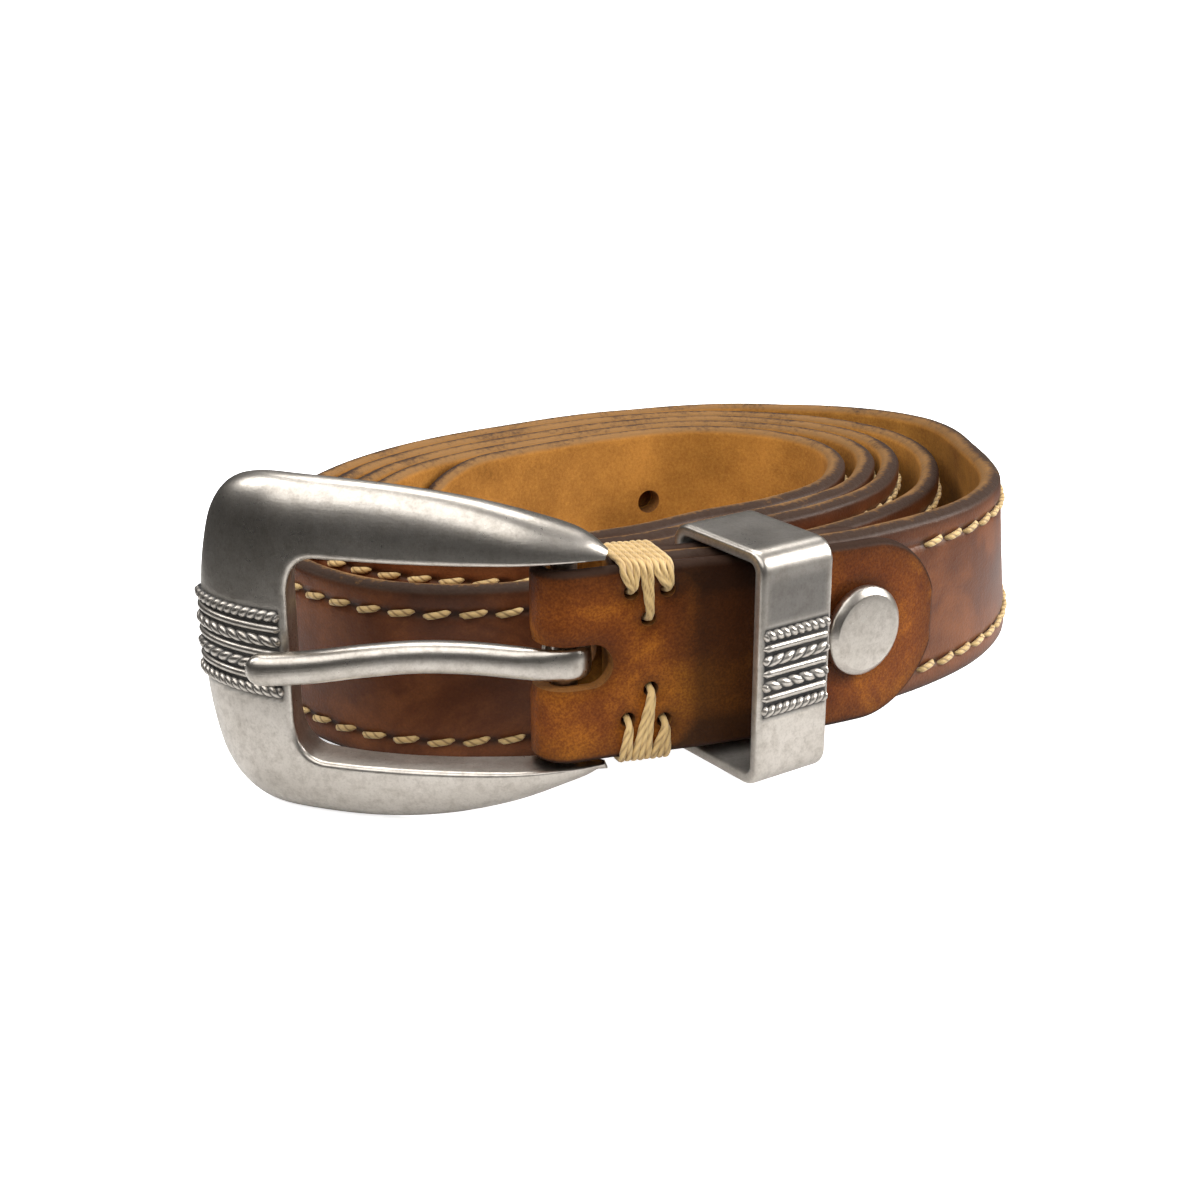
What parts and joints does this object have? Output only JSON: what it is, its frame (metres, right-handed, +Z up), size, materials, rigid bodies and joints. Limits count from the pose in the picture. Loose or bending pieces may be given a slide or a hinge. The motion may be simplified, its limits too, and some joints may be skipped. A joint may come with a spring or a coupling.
{
  "type": "western belt",
  "caption": "Narrow stitched leather belt coiled on its edge, with a cast horseshoe buckle with raised ropes, a matching metal keeper and a round rivet.",
  "frame": {"origin": "centre of the footprint, on the floor that the coiled belt stands on", "axes": "+Z up across the strap's width, -Y out of the front where the buckle faces, +X to the right from the buckle towards the rivet"},
  "size_m": [0.091, 0.0964, 0.0347],
  "materials": {
    "strap_leather": "smooth reddish brown outside, ochre suede inside, dark rounded edges",
    "chape_leather": "mottled warm brown with dark rounded edges",
    "satin_nickel": "satin nickel, blackened in the grooves of the raised ropes"
  },
  "bodies": {
    "belt": {"strap": "strap_leather", "chape": "chape_leather", "rivet_cap": "satin_nickel", "rivet_back": "satin_nickel"},
    "frame": {"buckle_frame": "satin_nickel"},
    "prong": {"buckle_prong": "satin_nickel"},
    "keeper": {"keeper_loop": "satin_nickel"}
  },
  "joints": [
    {"name": "frame_hinge", "type": "hinge", "parent": "belt", "child": "frame", "pos_m": [-0.00844, -0.04385, 0.0174], "axis": [0, 0, 1], "range_deg": [-10, 45]},
    {"name": "prong_hinge", "type": "hinge", "parent": "frame", "child": "prong", "pos_m": [-0.00844, -0.04385, 0.0174], "axis": [0, 0, 1], "range_deg": [0, 80]},
    {"name": "keeper_slide", "type": "slide", "parent": "belt", "child": "keeper", "axis": [0.9033, 0.429, 0], "range_m": [-0.0028, 0.0022]}
  ]
}
